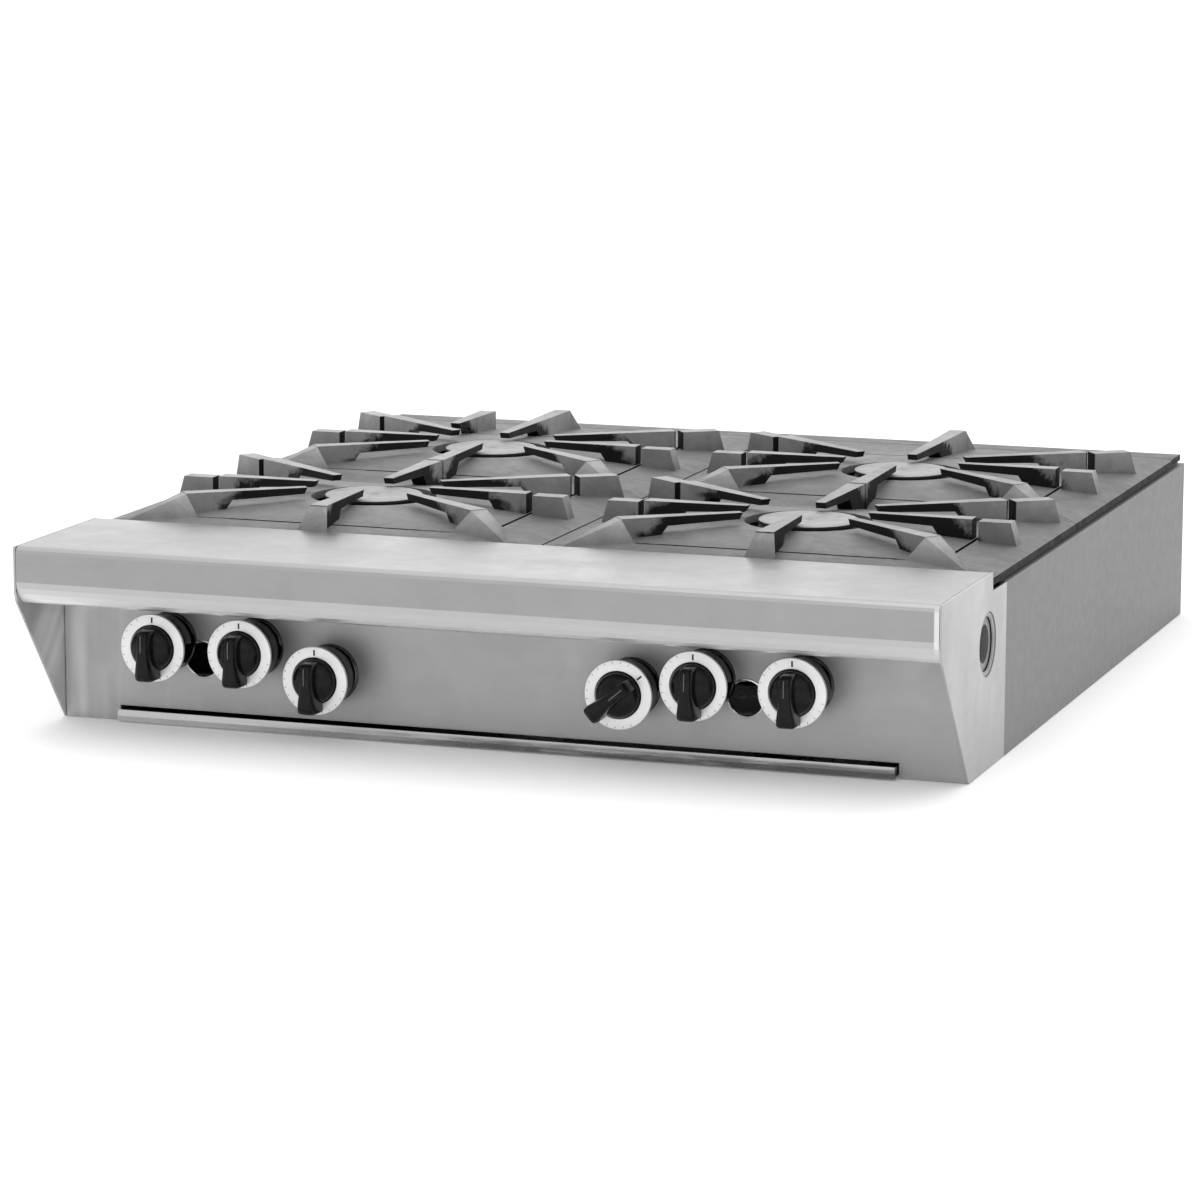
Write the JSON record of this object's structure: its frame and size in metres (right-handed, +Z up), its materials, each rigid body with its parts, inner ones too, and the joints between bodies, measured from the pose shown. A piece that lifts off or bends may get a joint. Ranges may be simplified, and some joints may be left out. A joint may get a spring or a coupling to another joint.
{
  "type": "counter-top commercial gas range",
  "caption": "Low stainless range top with a deep front rail, star-shaped cast grates over open burners, a recessed knob panel and a pull-out drip tray.",
  "frame": {"origin": "middle of the footprint on the plane the range rests on", "axes": "+Z up, -Y towards the cook (knobs), +X to the cook's right"},
  "size_m": [0.8636, 0.9652, 0.1945],
  "materials": {
    "stainless": "brushed stainless sheet",
    "coated_steel": "aluminised sheet steel",
    "cast_iron": "bare cast iron, sooted round the flames",
    "black_pipe": "black gas pipe",
    "brass": "machined brass",
    "tubing": "plain metal tubing",
    "black_plastic": "black moulded phenolic",
    "satin_dial": "satin bright dial ring"
  },
  "bodies": {
    "range_body": {"back_panel": "coated_steel", "burner_box_baffle": "coated_steel", "burner_front_left": "cast_iron", "burner_front_right": "cast_iron", "burner_rear_left": "cast_iron", "burner_rear_right": "cast_iron", "control_panel": "stainless", "cross_channel_front": "coated_steel", "cross_channel_rear": "coated_steel", "end_cap_left": "stainless", "end_cap_right": "stainless", "front_rail": "stainless", "gas_manifold": "black_pipe", "manifold_coupling": "black_pipe", "pilot_left": "tubing", "pilot_right": "tubing", "rear_plate": "cast_iron", "side_panel_left": "stainless", "side_panel_right": "stainless", "top_frame": "coated_steel", "tray_rail_left": "coated_steel", "tray_rail_right": "coated_steel", "valve_1": "brass", "valve_2": "brass", "valve_3": "brass", "valve_4": "brass", "valve_5": "brass", "valve_6": "brass"},
    "knob_1_turning": {"knob_1": "black_plastic", "dial_1": "satin_dial", "stem_1": "brass"},
    "knob_2_turning": {"knob_2": "black_plastic", "dial_2": "satin_dial", "stem_2": "brass"},
    "knob_3_turning": {"knob_3": "black_plastic", "dial_3": "satin_dial", "stem_3": "brass"},
    "knob_4_turning": {"knob_4": "black_plastic", "dial_4": "satin_dial", "stem_4": "brass"},
    "knob_5_turning": {"knob_5": "black_plastic", "dial_5": "satin_dial", "stem_5": "brass"},
    "knob_6_turning": {"knob_6": "black_plastic", "dial_6": "satin_dial", "stem_6": "brass"},
    "grate_front_left_loose": {"grate_front_left": "cast_iron"},
    "air_shutter_front_left_collar": {"air_shutter_front_left": "coated_steel"},
    "grate_front_right_loose": {"grate_front_right": "cast_iron"},
    "air_shutter_front_right_collar": {"air_shutter_front_right": "coated_steel"},
    "grate_rear_left_loose": {"grate_rear_left": "cast_iron"},
    "air_shutter_rear_left_collar": {"air_shutter_rear_left": "coated_steel"},
    "grate_rear_right_loose": {"grate_rear_right": "cast_iron"},
    "air_shutter_rear_right_collar": {"air_shutter_rear_right": "coated_steel"},
    "drip_tray_sliding": {"drip_tray": "stainless"}
  },
  "joints": [
    {"name": "knob_1_turn", "type": "hinge", "parent": "range_body", "child": "knob_1_turning", "pos_m": [-0.3235, -0.4229, 0.0775], "axis": [0, 1, 0], "range_deg": [0, 90]},
    {"name": "knob_2_turn", "type": "hinge", "parent": "range_body", "child": "knob_2_turning", "pos_m": [-0.2379, -0.4229, 0.0775], "axis": [0, 1, 0], "range_deg": [0, 90]},
    {"name": "knob_3_turn", "type": "hinge", "parent": "range_body", "child": "knob_3_turning", "pos_m": [-0.1645, -0.4229, 0.058], "axis": [0, 1, 0], "range_deg": [0, 90]},
    {"name": "knob_4_turn", "type": "hinge", "parent": "range_body", "child": "knob_4_turning", "pos_m": [0.1235, -0.4229, 0.065], "axis": [0, 1, 0], "range_deg": [-50, 40]},
    {"name": "knob_5_turn", "type": "hinge", "parent": "range_body", "child": "knob_5_turning", "pos_m": [0.1924, -0.4229, 0.0775], "axis": [0, 1, 0], "range_deg": [0, 90]},
    {"name": "knob_6_turn", "type": "hinge", "parent": "range_body", "child": "knob_6_turning", "pos_m": [0.2827, -0.4229, 0.0775], "axis": [0, 1, 0], "range_deg": [0, 90]},
    {"name": "air_shutter_front_left_turn", "type": "hinge", "parent": "range_body", "child": "air_shutter_front_left_collar", "pos_m": [-0.2379, -0.2796, 0.0775], "axis": [0, 1, 0], "range_deg": [-25, 25]},
    {"name": "air_shutter_front_right_turn", "type": "hinge", "parent": "range_body", "child": "air_shutter_front_right_collar", "pos_m": [0.1924, -0.2796, 0.0775], "axis": [0, 1, 0], "range_deg": [-25, 25]},
    {"name": "air_shutter_rear_left_turn", "type": "hinge", "parent": "range_body", "child": "air_shutter_rear_left_collar", "pos_m": [-0.3235, -0.2796, 0.0775], "axis": [0, 1, 0], "range_deg": [-25, 25]},
    {"name": "air_shutter_rear_right_turn", "type": "hinge", "parent": "range_body", "child": "air_shutter_rear_right_collar", "pos_m": [0.2827, -0.2796, 0.0775], "axis": [0, 1, 0], "range_deg": [-25, 25]},
    {"name": "grate_front_left_lift", "type": "slide", "parent": "range_body", "child": "grate_front_left_loose", "axis": [0, 0, 1], "range_m": [0, 0.15]},
    {"name": "grate_front_right_lift", "type": "slide", "parent": "range_body", "child": "grate_front_right_loose", "axis": [0, 0, 1], "range_m": [0, 0.15]},
    {"name": "grate_rear_left_lift", "type": "slide", "parent": "range_body", "child": "grate_rear_left_loose", "axis": [0, 0, 1], "range_m": [0, 0.15]},
    {"name": "grate_rear_right_lift", "type": "slide", "parent": "range_body", "child": "grate_rear_right_loose", "axis": [0, 0, 1], "range_m": [0, 0.15]},
    {"name": "drip_tray_pull", "type": "slide", "parent": "range_body", "child": "drip_tray_sliding", "axis": [0, -1, 0], "range_m": [0, 0.55]}
  ]
}
